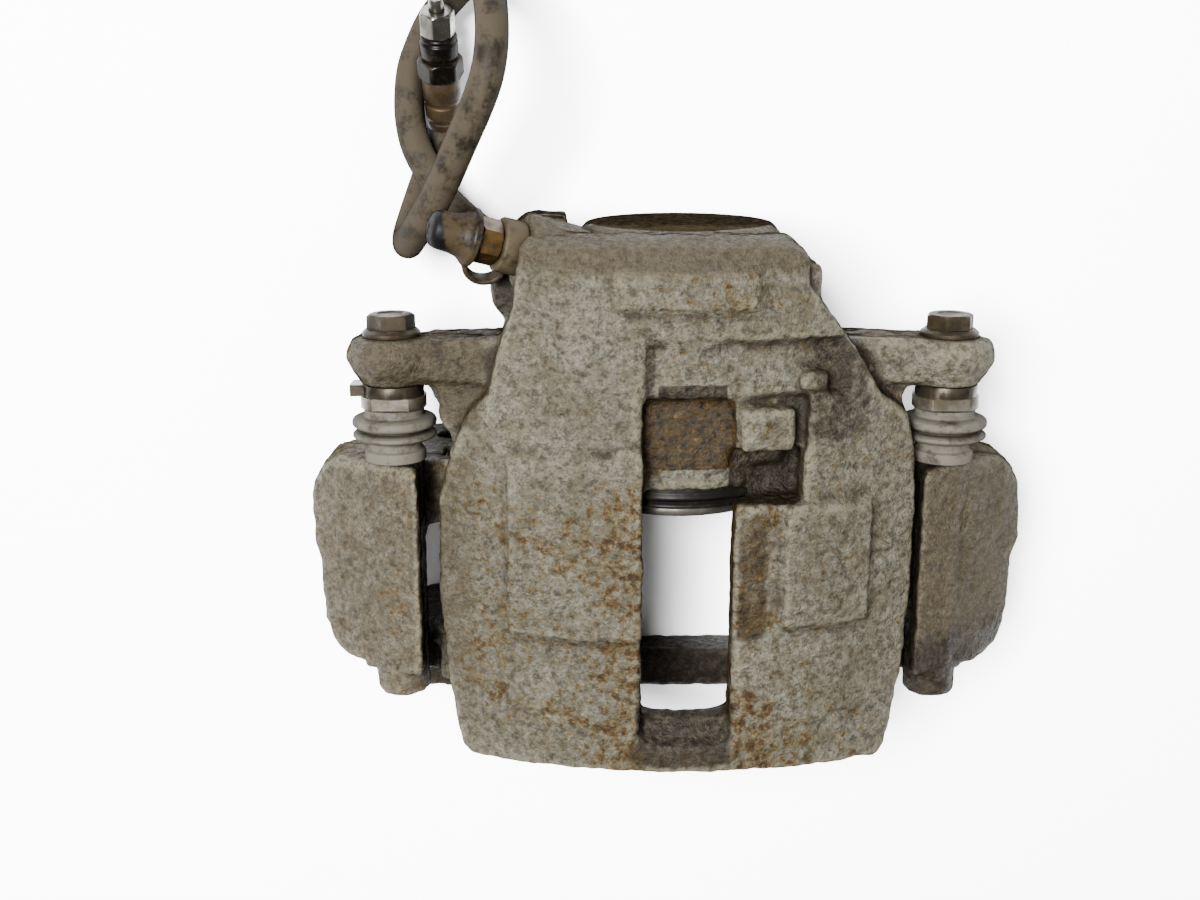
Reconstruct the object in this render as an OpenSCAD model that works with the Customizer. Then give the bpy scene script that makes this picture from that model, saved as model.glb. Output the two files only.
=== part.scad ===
// Front disc-brake caliper: floating single-piston housing on its carrier, with its bleed screw and hose.
// Frame: origin midway between the two mounting holes, on the inboard face of the carrier lugs.
// +X runs from one guide pin to the other, +Y points inboard along the piston axis,
// and +Z points away from the wheel axle, so the caliper lies on its back at z = -15.

/* [Guide pins] */
// Distance between the two guide pins
pin_spacing = 172; // [150:1:210]
// Diameter of a guide pin
pin_d = 10; // [8:0.5:12]
// Radial running clearance of a guide pin in its bore
pin_fit = 0.06; // [0.03:0.01:0.1]
// Height of the guide pins above the mounting holes
pin_z = 45; // [40:1:60]
// Nominal thread of the guide bolts
bolt_d = 8; // [6:1:10]
// Width across flats of the guide bolt heads
bolt_af = 13; // [10:1:17]

/* [Brake disc] */
// Diameter of the brake disc that runs through the caliper
disc_d = 300; // [260:2:330]
// Thickness of the brake disc
disc_t = 28; // [22:1:30]
// Radial gap between the disc and the castings over it
disc_gap = 5; // [3:0.5:8]
// Distance of the guide pin axes outside the edge of the disc
pin_clear = 15.2; // [14:0.2:18]

/* [Piston] */
// Diameter of the piston
piston_d = 60; // [50:1:62]
// Length of the piston
piston_l = 56; // [48:1:58]
// Depth of the piston axis below the guide pins
piston_drop = 15; // [12:1:18]
// Thickness of the cylinder wall
cylinder_wall = 12; // [11:0.5:14]
// Radial running clearance of the piston
piston_fit = 0.05; // [0.03:0.01:0.1]

/* [Housing] */
// Thickness of the bridge over the disc
bridge_t = 15; // [12:0.5:18]
// Thickness of the outboard fingers
finger_t = 18; // [14:0.5:20]
// Width of the opening in the bridge
window_w = 27.5; // [22:0.5:32]
// Thickness of the two ears that hold the guide bolts
ear_t = 14.8; // [12:0.2:18]
// Sideways shift of the housing casting from the middle of the pins
casting_shift = 3; // [0:0.5:4]

/* [Carrier] */
// Distance between the two mounting holes
lug_spacing = 142; // [130:1:150]
// Diameter of a mounting hole
lug_hole_d = 12.5; // [10.5:0.5:14.5]
// Thickness of a mounting lug
lug_t = 22; // [16:1:24]
// Height of the bars that join the two sides of the carrier
bar_h = 14; // [10:1:14]

/* [Bleed screw and hose] */
// Thread diameter of the bleed screw
bleed_d = 8; // [7:1:10]
// Width across flats of the bleed screw
bleed_af = 12; // [10:1:13]
// Outside diameter of the brake hose
hose_d = 10; // [9:0.5:11]

/* [Hidden] */

// Guide pins, wheel axle and piston axis
pin_x = pin_spacing / 2;
pin_r = pin_d / 2;
boss_r = pin_r + 3.6;
wheel_z = pin_z - sqrt(pow(disc_d / 2 + pin_clear, 2) - pow(pin_x, 2));
piston_z = pin_z - piston_drop;
piston_r = piston_d / 2;
cyl_r = piston_r + cylinder_wall;
shift = casting_shift;
// Stations along the piston axis, from the lug face at y = 0
table_z = -15;
disc_in = -28;
disc_out = disc_in - disc_t;
pad_space = 17.5;
finger_in = disc_out - pad_space;
finger_out = finger_in - finger_t;
tower_top = 3;
tower_end = disc_out - 10;
boss_end = tower_end - 9;
ear_y = 27.8;
ear_top = ear_y + ear_t;
head_y = 20.5;
mouth_y = -2;
body_y = 6;
back_y = ear_top + 33.4;
bore_end = back_y - 12;
piston_face = disc_in + pad_space - 0.5;
// Radii about the wheel axle
r_in = disc_d / 2 + disc_gap;
r_out = r_in + bridge_t;
r_tower = r_in + 18;
// Half width of the bridge, which stays clear of the pin bosses
side_gap = 1.4;
half_w = pin_x - boss_r - side_gap - shift;
left_w = half_w + 2.5;
window_x = shift + 1.75;
window_end = finger_out + 10;
// Boot sizes
boot_r = 13.2;
relief_r = boot_r + 1.6;

// Bleed screw: its seat face, and its direction to the left, inboard and outward
bleed_p = [shift - half_w + 24.5, back_y - 5.8, pin_z + 8.7];
bleed_turn = 16.5;
bleed_rise = 20;
bleed_boss_r = 11.5;
nipple_r = 3.4;
// Banjo: the centre of its eye, and the direction of its neck
banjo_p = [shift - cyl_r - 7, back_y - 20, 7];
neck_turn = 140;
neck_dip = -8;
eye_r = 9;
eye_h = 11;
washer_t = 1.5;
neck_l = 8;
crimp_l = 15;
// Free end of the hose: where its ferrule starts, and its direction
end_p = banjo_p + [-27.5, 48, -14];
end_turn = 89;
end_rise = 28;

// The hose and its free end move with the banjo, from the place the route is drawn for
hose_move = banjo_p - [-46, 56, 7];
// Route of the hose between its two ferrules
hose_route = [[-62, 71, 4], [-68, 76, 3], [-74, 82, 2], [-78, 89, 1.5], [-82, 97, 0.5], [-84, 105, -2],
    [-84.5, 113, -5], [-83.5, 122, -7], [-80.5, 130, -8], [-76.5, 137, -6], [-71, 143, -2], [-64.5, 148, 6],
    [-59, 149.5, 18], [-55.5, 146.5, 32], [-53.5, 139, 44], [-53, 129.5, 50.5], [-54.5, 120, 52.5],
    [-58, 111, 51], [-63, 101, 46.5], [-68, 91, 42], [-73, 82, 37.5], [-78, 75, 32], [-82, 69.5, 24.5],
    [-84, 67.5, 15], [-85, 69.5, 5.5], [-84, 75, -3], [-81.5, 83, -8], [-78, 92.5, -10], [-73.5, 104, -7]];
hose_steps = 3;

// ---- helpers ----
// Moves an outline in X and Z to the height of the guide pins
module at_pins() { translate([0, pin_z]) children(); }
// Extrudes an outline drawn in X and Z along Y
module along_y(y0, y1) { translate([0, y1, 0]) rotate([90, 0, 0]) linear_extrude(y1 - y0) children(); }
// Cylinder along Y
module rod_y(x, z, y0, y1, r, fn = 48) {
    translate([x, y1, z]) rotate([90, 0, 0]) cylinder(h = y1 - y0, r = r, $fn = fn);
}
// Box from its low corner to its high corner
module span(a, b) { translate(a) cube([b[0] - a[0], b[1] - a[1], b[2] - a[2]]); }
// Slice of a ring about the wheel axle
module arc_band(y0, y1, r0, r1, x = shift) {
    along_y(y0, y1) difference() {
        translate([x, wheel_z]) circle(r = r1, $fn = 180);
        translate([0, wheel_z]) circle(r = r0, $fn = 180);
    }
}
// Hexagonal prism measured across its flats
module hex(af, h) { cylinder(h = h, r = af / sqrt(3), $fn = 6); }
// Turns Z to a direction given by its turn in plan and its rise
module aim(turn, rise) { rotate([0, 0, turn]) rotate([0, 90 - rise, 0]) children(); }
module at_bleed(s = 0) {
    translate(bleed_p) aim(180 - bleed_turn, bleed_rise) translate([0, 0, s]) children();
}
module at_neck(s = 0) { translate(banjo_p) aim(neck_turn, neck_dip) translate([0, 0, s]) children(); }
module at_end(s = 0) { translate(end_p) aim(end_turn, end_rise) translate([0, 0, s]) children(); }

// ---- housing ----
// Outline of the housing seen along Z
module plan_outline() {
    polygon([[shift + 30, back_y], [shift + 36, back_y - 6], [shift + 36, back_y - 14],
        [shift + 52, ear_top - 1], [shift + half_w - 13, ear_y], [shift + half_w - 4, 22],
        [shift + half_w - 1, 9], [shift + half_w, -6], [shift + half_w, -36],
        [shift + half_w - 2, disc_out - 8], [shift + half_w - 6, finger_out + 3],
        [shift + half_w - 9, finger_out],
        [shift - left_w + 9, finger_out], [shift - left_w + 6, finger_out + 3],
        [shift - left_w + 2, disc_out - 8], [shift - left_w, -36], [shift - left_w + 1, -6],
        [shift - left_w + 5, 9], [shift - left_w + 11, 22], [shift - left_w + 17, ear_y],
        [shift - left_w + 21, ear_top + 2], [shift - left_w + 25, back_y - 22],
        [shift - left_w + 27, back_y - 3], [shift - left_w + 30, back_y]]);
}
module within_plan() {
    intersection() {
        children();
        translate([0, 0, table_z]) linear_extrude(150) plan_outline();
    }
}
// Part of the bridge surface between two stations, raised or sunk from it
module surface_patch(x0, x1, y0, y1, r0, r1) {
    intersection() {
        arc_band(y0, y1, r0, r1);
        span([x0, y0, piston_z], [x1, y1, wheel_z + r1 + 1]);
    }
}
module ear(side) {
    translate([side * pin_x, 0, pin_z]) rotate([-90, 0, 0]) rotate_extrude($fn = 64)
        polygon([[0, ear_y], [9.8, ear_y], [10.8, ear_y + 1.4], [14, ear_y + 7], [14, ear_y + 11],
            [12, ear_top], [0, ear_top]]);
    hull() {
        rod_y(side * pin_x, pin_z, ear_y + 2.2, ear_top, 10, 32);
        span([shift + side * 46 - 4, ear_y + 1, pin_z - 12],
            [shift + side * 46 + 4, ear_top + 1, pin_z + 8]);
    }
}
module cylinder_body() {
    rod_y(shift, piston_z, mouth_y, body_y + 1, cyl_r - 6, 96);
    // The closed end tapers towards the back
    translate([shift, 0, piston_z]) rotate([-90, 0, 0]) rotate_extrude($fn = 96)
        polygon([[0, body_y], [cyl_r, body_y], [cyl_r, back_y - 18], [cyl_r - 6, back_y - 8],
            [cyl_r - 13, back_y], [0, back_y]]);
}
// Web between an ear and the side of the housing
module gusset(side) {
    translate([0, 0, pin_z - 13]) linear_extrude(19) polygon([[side * (pin_x - 3), ear_y + 2],
        [side * (pin_x - 12), 20], [side * (pin_x - 20), 8], [side * 50, 8], [side * 50, ear_y + 4]]);
}
// Machined face on a finger, which presses on the outboard pad
module finger_pad(side) {
    along_y(finger_in - 3, finger_in) translate([shift, 0]) polygon([[side * (piston_r + 4), 9],
        [side * (half_w - 28), 9], [side * (half_w - 19), 16], [side * (half_w - 19), 44],
        [side * (piston_r + 4), 44]]);
}
// Outboard wall that the fingers are cut from
module finger_wall() {
    within_plan() intersection() {
        along_y(finger_out, finger_in - 1) difference() {
            polygon([[shift - left_w, 120], [shift - left_w, pin_z - 6], [shift - half_w + 15, pin_z - 14],
                [shift - half_w + 15, 14], [shift - half_w + 26, 5], [shift + half_w - 26, 5],
                [shift + half_w - 15, 14], [shift + half_w - 15, pin_z - 14], [shift + half_w, pin_z - 6],
                [shift + half_w, 120]]);
            translate([shift, piston_z]) circle(r = piston_r + 1, $fn = 96);
            translate([shift - piston_r - 1, -40]) square([2 * piston_r + 2, piston_z + 40]);
        }
        arc_band(finger_out, finger_in, 40, r_out);
        // The wall between the fingers slopes up to the edge of the window
        union() {
            span([-200, finger_out - 1, -40], [window_x - window_w / 2, finger_in + 1, 120]);
            span([window_x + window_w / 2, finger_out - 1, -40], [200, finger_in + 1, 120]);
            translate([-200, 0, 0]) rotate([90, 0, 90]) linear_extrude(400)
                polygon([[finger_out - 1, -40], [finger_in + 1, -40],
                    [finger_in + 1, piston_z + piston_r + 4], [window_end, wheel_z + r_out - 3],
                    [window_end, 120], [finger_out - 1, 120]]);
        }
    }
}
module bridge() {
    within_plan() difference() {
        union() {
            arc_band(finger_out, back_y, r_in, r_out);
            arc_band(10, ear_top + 6, r_in - 11, r_in + 2);
        }
        // Rounded inboard edge
        translate([-150, 0, 0]) rotate([90, 0, 90]) linear_extrude(300)
            polygon([[back_y - 8, wheel_z + r_out + 9], [back_y - 8, wheel_z + r_out - 0.5],
                [back_y - 3.5, wheel_z + r_out - 4], [back_y - 0.5, wheel_z + r_out - 10],
                [back_y, wheel_z + r_out - 18], [back_y + 5, wheel_z + r_out - 18],
                [back_y + 5, wheel_z + r_out + 9]]);
    }
}
module housing_casting() {
    difference() {
        union() {
            bridge();
            // Raised plates on the bridge
            within_plan() union() {
                surface_patch(shift - 53, shift - 22, -47, 10, r_in, r_out + 2.6);
                surface_patch(shift + 31, shift + 58, -43, -4, r_in, r_out + 2.6);
                surface_patch(window_x - window_w / 2 - 8.5, window_x - window_w / 2, -47, 14,
                    r_in, r_out + 3.4);
                surface_patch(shift - 21, shift + 21.5, back_y - 21, back_y - 9, r_in, r_out + 2.8);
            }
        }
        // Lower field beside the window, down to the ledge
        span([window_x - window_w / 2, body_y - 1, pin_z + 21], [window_x + window_w / 2, 28, 120]);
        surface_patch(window_x - window_w / 2, shift + 50, 29, 46, r_out - 2.6, r_out + 5);
        surface_patch(window_x - window_w / 2, shift + 37, 12, 29, r_out - 5.5, r_out + 5);
        surface_patch(shift + 14, shift + 36, -4, 12, r_in + 1, r_out + 5);
        // Window through the bridge
        span([window_x - window_w / 2, window_end, pin_z - 20], [window_x + window_w / 2, body_y, 120]);
        // Two shallow half-round marks
        for (p = [[shift - 52, finger_out + 11, 7], [shift + 51, finger_out + 12, 6]])
            translate([p[0], p[1], wheel_z + sqrt(pow(r_out, 2) - pow(p[0] - shift, 2)) - 2.6])
                cylinder(h = 20, r = p[2], $fn = 48);
    }
    difference() {
        cylinder_body();
        // Recess over the cylinder mouth
        span([window_x - window_w / 2, body_y - 1, pin_z + 21], [window_x + window_w / 2, 28, 120]);
        surface_patch(shift + 14, shift + 36, -4, 12, r_in + 4, r_out + 5);
    }
    finger_wall();
    finger_pad(-1);
    finger_pad(1);
    // Block and small tab beside the window
    within_plan() surface_patch(shift + 17, shift + 33.5, 12.5, 25.5, r_in, r_out);
    within_plan() surface_patch(shift + 33.5, shift + 42.5, 31, 36.5, r_in, r_out + 2.5);
    // Square lug on the right edge of the back
    span([shift + 32, back_y - 18.5, pin_z - 20], [shift + 40.5, back_y - 9, pin_z + 20]);
    ear(-1);
    ear(1);
    gusset(-1);
    gusset(1);
    // Boss of the bleed screw, and the boss of the banjo under it
    at_bleed(-20) cylinder(h = 20, r = bleed_boss_r, $fn = 64);
    translate([banjo_p[0], banjo_p[1], banjo_p[2] + eye_h / 2 + washer_t]) {
        hull() {
            cylinder(h = 29, r = 10, $fn = 48);
            translate([4, 14.5, 0]) cylinder(h = 29, r = 8, $fn = 48);
        }
        span([0, -10, 0], [14, 22, 29]);
    }
}
module housing() {
    color("#8f8a80") difference() {
        housing_casting();
        // Cylinder bore with the seal groove and the boot groove
        rod_y(shift, piston_z, mouth_y - 1, bore_end, piston_r + piston_fit, 96);
        rod_y(shift, piston_z, 8, 12, piston_r + 3, 96);
        rod_y(shift, piston_z, mouth_y - 1, 2, piston_r + 3, 96);
        // Room for the piston boot under the bridge
        rod_y(shift, piston_z, mouth_y - 11, mouth_y - 0.2, piston_r + 4.9, 96);
        // Room for the guide boots under the ears, the bolt holes and their spot faces
        for (side = [-1, 1]) {
            rod_y(side * pin_x, pin_z, -10, ear_y, relief_r, 64);
            rod_y(side * pin_x, pin_z, ear_y - 1, ear_top + 1, bolt_d / 2 + 0.2);
            rod_y(side * pin_x, pin_z, ear_top, ear_top + 6, bolt_af * 0.8);
        }
        // Bleed port and banjo port, each with its passage to the cylinder
        at_bleed(0) cylinder(h = 12, r = 9.2, $fn = 48);
        at_bleed(-16) cylinder(h = 17, r = bleed_d / 2 + 0.05, $fn = 48);
        at_bleed(-30) cylinder(h = 31, r = 1.5, $fn = 24);
        translate([banjo_p[0], banjo_p[1], 0]) {
            cylinder(h = banjo_p[2] + 22, r = 5.05, $fn = 48);
            translate([0, 0, banjo_p[2] + 18]) rotate([0, 90, 0]) cylinder(h = 26, r = 1.5, $fn = 24);
        }
    }
}
module piston() {
    color("silver") difference() {
        rod_y(shift, piston_z, piston_face, piston_face + piston_l, piston_r, 96);
        rod_y(shift, piston_z, piston_face - 1, piston_face + piston_l - 9, piston_r - 6, 96);
        // Groove that holds the boot
        translate([shift, piston_face + 4, piston_z]) rotate([90, 0, 0])
            rotate_extrude($fn = 96) translate([piston_r - 1.5, -1.5]) square([3, 3]);
    }
}
module piston_seal() {
    color("#202020") difference() {
        rod_y(shift, piston_z, 8.2, 11.8, piston_r + 2.8, 96);
        rod_y(shift, piston_z, 8, 12, piston_r + 0.02, 96);
    }
}
module piston_boot() {
    color("#1c1b1a") translate([shift, 0, piston_z]) rotate([-90, 0, 0])
        rotate_extrude($fn = 96) polygon([[piston_r + 0.3, 1.8], [piston_r + 2.9, 1.8],
            [piston_r + 2.9, -3.2], [piston_r + 4.2, -4.2], [piston_r + 4.2, -5.2],
            [piston_r + 2.4, -5.8], [piston_r + 4, -6.8],
            [piston_r + 4, -8], [piston_r + 0.3, -8.2], [piston_r + 0.3, -6.6], [piston_r + 1.4, -5.8],
            [piston_r + 1.4, -4], [piston_r + 0.3, -3]]);
}

// ---- carrier ----
// Outline of one tower seen along Z, on the +X side
module tower_outline() {
    polygon([[pin_x - 8, tower_top], [pin_x + 19, tower_top], [pin_x + 25, tower_top - 4],
        [pin_x + 29, tower_top - 11], [pin_x + 30, tower_top - 18], [pin_x + 30, disc_in - 1],
        [pin_x + 28.5, disc_in - 3], [pin_x + 27, disc_out + 2], [pin_x + 24, tower_end + 4],
        [pin_x + 18, tower_end - 0.5], [pin_x + 8, tower_end - 1], [pin_x - 8, tower_end]]);
}
// Inner side of a leg, with the slot that a brake pad slides in; z is measured from the guide pins
function slot_side(x) = [[x, -29], [x + 6, -29], [x + 6, -16], [x, -16]];
module carrier_side() {
    // Tower over the disc, and the boss that holds the pin
    intersection() {
        arc_band(tower_end, tower_top, r_in, r_tower, 0);
        translate([0, 0, table_z]) linear_extrude(100) tower_outline();
    }
    rod_y(pin_x, pin_z, boss_end, tower_top, boss_r);
    rod_y(pin_x, pin_z, tower_top - 1, tower_top + 2.6, pin_r + 1.9);
    // Inboard leg and mounting lug
    along_y(-lug_t, 0) at_pins()
        polygon(concat([[pin_x - 8, -4], [pin_x + 18, -16], [pin_x + 24, -24], [pin_x + 23, -33],
            [pin_x + 10, -50], [lug_spacing / 2 + 12, table_z - pin_z],
            [lug_spacing / 2 - 17, table_z - pin_z], [lug_spacing / 2 - 15, -44], [pin_x - 19, -36]],
            slot_side(pin_x - 19), [[pin_x - 19, -11], [pin_x - 9, -9]]));
    rod_y(lug_spacing / 2, 0, -lug_t, 0, 14.5);
    // Outboard leg
    along_y(tower_end - 12, tower_end + 6) at_pins()
        polygon(concat([[pin_x - 11, -12], [pin_x - 9, -21], [pin_x + 16, -21], [pin_x + 19, -30],
            [pin_x + 8, -46], [pin_x - 2, table_z - pin_z], [pin_x - 26, table_z - pin_z],
            [pin_x - 26, -46], [pin_x - 19, -37]],
            slot_side(pin_x - 19), [[pin_x - 19, -12]]));
    along_y(tower_end, tower_end + 6) at_pins()
        polygon([[pin_x - 8, 0], [pin_x + 8, -4], [pin_x + 19, -22], [pin_x - 8, -22]]);
    span([pin_x - 26, finger_out - 4, table_z], [pin_x + 1, tower_end, table_z + bar_h]);
}
module carrier() {
    color("#7c766c") difference() {
        union() {
            carrier_side();
            mirror([1, 0, 0]) carrier_side();
            // Tie bar outboard and beam inboard
            span([-pin_x + 10, finger_out - 4, table_z], [pin_x - 10, finger_out + 11, table_z + bar_h]);
            span([-lug_spacing / 2, -22, table_z], [lug_spacing / 2, -11, table_z + bar_h - 3]);
        }
        for (side = [-1, 1]) {
            rod_y(side * pin_x, pin_z, boss_end + 5, tower_top + 3, pin_r + pin_fit);
            rod_y(side * lug_spacing / 2, 0, -lug_t - 1, 1, lug_hole_d / 2);
        }
    }
}
// Stainless clip that lines the slot of one pad end, with a tongue that stands up from it
module pad_clip(side, y0, y1, tongue) {
    color("#b9b6ad") scale([side, 1, 1]) along_y(y0, y1) at_pins() translate([pin_x - 19, 0]) {
        difference() {
            translate([-1.2, -29]) square([7.2, 13]);
            translate([-2, -28.4]) square([7.4, 11.8]);
        }
        translate([-0.6, -16.6]) square([0.6, tongue]);
        translate([-3, tongue - 17.2]) square([3, 0.6]);
    }
}
module clip_inboard_left() { pad_clip(-1, -lug_t + 2, -2, 6); }
module clip_inboard_right() { pad_clip(1, -lug_t + 2, -2, 6); }
module clip_outboard_left() { pad_clip(-1, tower_end - 10, tower_end + 4, 3.4); }
module clip_outboard_right() { pad_clip(1, tower_end - 10, tower_end + 4, 3.4); }

// ---- guide pins, bolts and boots ----
module guide_pin(side) {
    color("#a8a49a") difference() {
        union() {
            // Flange under the ear, and the part with two spanner flats
            rod_y(side * pin_x, pin_z, ear_y - 3.6, ear_y, 9.5);
            intersection() {
                rod_y(side * pin_x, pin_z, head_y, ear_y - 3.6, 10.2);
                span([side * pin_x - 11, head_y - 1, pin_z - 8.5], [side * pin_x + 11, ear_y, pin_z + 8.5]);
            }
            children();
        }
        rod_y(side * pin_x, pin_z, ear_y - 26, ear_y + 1, bolt_d / 2);
    }
}
module guide_pin_left() {
    guide_pin(-1) {
        rod_y(-pin_x, pin_z, boss_end + 12, ear_y - 4, pin_r);
        // Tab that stops the pin turning
        span([-pin_x - 13, ear_y - 3.6, pin_z - 4], [-pin_x - 6, ear_y, pin_z + 4]);
    }
}
module guide_pin_right() {
    guide_pin(1) {
        rod_y(pin_x, pin_z, boss_end + 32.5, ear_y - 4, pin_r);
        rod_y(pin_x, pin_z, boss_end + 13.5, boss_end + 33.5, pin_r - 1.2);
        rod_y(pin_x, pin_z, boss_end + 12, boss_end + 14.5, pin_r - 0.4);
    }
}
module guide_bush() {
    color("#2a2927") difference() {
        rod_y(pin_x, pin_z, boss_end + 15.5, boss_end + 31.5, pin_r - 0.02);
        rod_y(pin_x, pin_z, boss_end + 14.5, boss_end + 32.5, pin_r - 1.15);
    }
}
module guide_bolt(side) {
    color("#8a7f6d") {
        rod_y(side * pin_x, pin_z, ear_y - 14, ear_top + 1, bolt_d / 2 - 0.04);
        rod_y(side * pin_x, pin_z, ear_top, ear_top + 1.9, bolt_af * 0.69);
        translate([side * pin_x, ear_top + 1.5, pin_z]) rotate([-90, 30, 0]) hex(bolt_af, 5.4);
    }
}
module guide_bolt_left() { guide_bolt(-1); }
module guide_bolt_right() { guide_bolt(1); }
module guide_boot(side) {
    y0 = tower_top + 0.4;
    color("#b3b0a8") translate([side * pin_x, 0, pin_z]) rotate([-90, 0, 0])
        rotate_extrude($fn = 64) polygon([[pin_r + 0.3, head_y - 0.3], [pin_r + 4.4, head_y - 0.3],
            [pin_r + 4.4, head_y - 2.8], [boot_r - 1.6, head_y - 3.2], [boot_r, head_y - 4.2],
            [boot_r, head_y - 5.8], [boot_r - 1.6, head_y - 6.8], [pin_r + 4.6, head_y - 7.2],
            [boot_r - 1.6, head_y - 7.6], [boot_r, head_y - 8.4], [boot_r, head_y - 9.6],
            [boot_r - 1.6, head_y - 10.2], [pin_r + 3.4, head_y - 10.6], [pin_r + 3.4, y0 + 3.6],
            [pin_r + 4.6, y0 + 3.2], [pin_r + 4.6, y0], [pin_r + 2.3, y0], [pin_r + 2.3, y0 + 3],
            [pin_r + 1.6, y0 + 4.2], [pin_r + 1.6, head_y - 3.4], [pin_r + 0.3, head_y - 3.4]]);
}
module guide_boot_left() { guide_boot(-1); }
module guide_boot_right() { guide_boot(1); }

// ---- bleed screw ----
hex_s = 7.5;
cap_s = 14.6;
module bleed_screw() {
    color("#8d6f45") {
        at_bleed(-15) cylinder(h = 23, r = bleed_d / 2, $fn = 48);
        at_bleed(hex_s) hex(bleed_af, 6.5);
        at_bleed(hex_s + 6) cylinder(h = 6, r = nipple_r - 0.8, $fn = 48);
        at_bleed(hex_s + 11.5) cylinder(h = 3.5, r1 = nipple_r, r2 = nipple_r - 0.9, $fn = 48);
    }
}
module bleed_cap() {
    color("#6f6358") difference() {
        union() {
            at_bleed(cap_s) cylinder(h = 2.2, r = 8.7, $fn = 48);
            at_bleed(cap_s + 2.2) cylinder(h = 2.2, r1 = 8.4, r2 = 6.4, $fn = 48);
            at_bleed(cap_s + 4) cylinder(h = 7.5, r1 = 6.4, r2 = 5.6, $fn = 48);
            at_bleed(cap_s + 11) cylinder(h = 3.2, r1 = 5.6, r2 = 4, $fn = 48);
        }
        at_bleed(cap_s - 1) cylinder(h = 11, r = nipple_r + 0.3, $fn = 48);
    }
}
module bleed_cap_tether() {
    color("#6f6358") {
        difference() {
            at_bleed(0) cylinder(h = 7.2, r = 8.2, $fn = 48);
            at_bleed(-1) cylinder(h = 9, r = bleed_d / 2 + 0.05, $fn = 48);
        }
        // Strap that loops from the ring to the cap
        at_bleed(8.6) rotate([0, 0, 90]) translate([7.6, 0, 0]) rotate([90, 0, 0])
            intersection() {
                rotate_extrude($fn = 48) translate([4.4, -2.2]) square([1.8, 4.4]);
                span([0.4, -8, -3], [9, 5.8, 3]);
            }
    }
}

// ---- banjo and hose ----
module banjo_fitting() {
    color("#6d6a62") difference() {
        union() {
            translate([banjo_p[0], banjo_p[1], banjo_p[2] - eye_h / 2])
                cylinder(h = eye_h, r = eye_r, $fn = 64);
            at_neck(0) cylinder(h = eye_r + neck_l - 5, r = 4.2, $fn = 48);
        }
        translate([banjo_p[0], banjo_p[1], banjo_p[2] - eye_h]) cylinder(h = 2 * eye_h, r = 5.3, $fn = 48);
    }
}
module banjo_bolt() {
    color("#6d6a62") translate([banjo_p[0], banjo_p[1], banjo_p[2] - eye_h / 2 - washer_t]) {
        translate([0, 0, -6.5]) hex(15, 6.5);
        cylinder(h = eye_h + 2 * washer_t + 14, r = 5, $fn = 48);
    }
}
module sealing_washers() {
    color("#a5673f") translate([banjo_p[0], banjo_p[1], banjo_p[2] - eye_h / 2 - washer_t])
        for (z = [0, eye_h + washer_t]) translate([0, 0, z]) difference() {
            cylinder(h = washer_t, r = 7.6, $fn = 48);
            translate([0, 0, -1]) cylinder(h = washer_t + 2, r = 5.1, $fn = 48);
        }
}
module hose_ferrule() {
    color("#7d7263") at_neck(eye_r + neck_l - 5) cylinder(h = crimp_l - 5, r = hose_d / 2 + 1.3, $fn = 48);
}

// Sweep of a round section along the route, smoothed by a curve through its points
function catmull(a, b, c, d, t) = 0.5 * (2 * b + (c - a) * t + (2 * a - 5 * b + 4 * c - d) * t * t
    + (3 * b - a - 3 * c + d) * t * t * t);
function route_at(p, i, t) = catmull(p[max(i - 1, 0)], p[i], p[i + 1], p[min(i + 2, len(p) - 1)], t);
function smooth_route(p, n) = concat([for (i = [0 : len(p) - 2], k = [0 : n - 1]) route_at(p, i, k / n)],
    [p[len(p) - 1]]);
function unit(v) = v / norm(v);
function tangent(p, i) = unit(p[min(i + 1, len(p) - 1)] - p[max(i - 1, 0)]);
function turned(u, t) = unit(u - (u * t) * t);
function frames(p, i = 0, u = [0, 0, 1], out = []) = i == len(p) ? out
    : frames(p, i + 1, turned(u, tangent(p, i)), concat(out, [turned(u, tangent(p, i))]));
module swept_tube(p, r, sides) {
    u = frames(p);
    points = [for (i = [0 : len(p) - 1], k = [0 : sides - 1]) let (a = 360 * k / sides)
        p[i] + r * (cos(a) * u[i] + sin(a) * cross(tangent(p, i), u[i]))];
    walls = [for (i = [0 : len(p) - 2], k = [0 : sides - 1]) let (a = i * sides, b = a + sides,
        n = (k + 1) % sides) [a + k, a + n, b + n, b + k]];
    caps = [[for (k = [sides - 1 : -1 : 0]) k], [for (k = [0 : sides - 1]) (len(p) - 1) * sides + k]];
    polyhedron(points, concat(walls, caps), convexity = 6);
}
module brake_hose() {
    color("#5d554b") translate(hose_move) swept_tube(smooth_route(hose_route, hose_steps), hose_d / 2, 12);
}
module hose_end_ferrule() {
    color("#6b5d4c") {
        at_end(0) cylinder(h = 14, r1 = hose_d / 2 + 0.2, r2 = hose_d / 2 + 1.2, $fn = 48);
        at_end(14) cylinder(h = 4, r = hose_d / 2 + 1.2, $fn = 48);
    }
}
module hose_end_collar() { color("#262422") at_end(18) hex(13.5, 6.5); }
module hose_end_sleeve() { color("#171615") at_end(24.5) cylinder(h = 8, r = 6.2, $fn = 48); }
module tube_nut() {
    color("#b8b4aa") difference() {
        at_end(32.5) hex(10, 8);
        at_end(32) cylinder(h = 10, r = 2.45, $fn = 32);
    }
}
module pipe_stub() { color("#8d8a83") at_end(32.5) cylinder(h = 12, r = 2.4, $fn = 32); }

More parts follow.
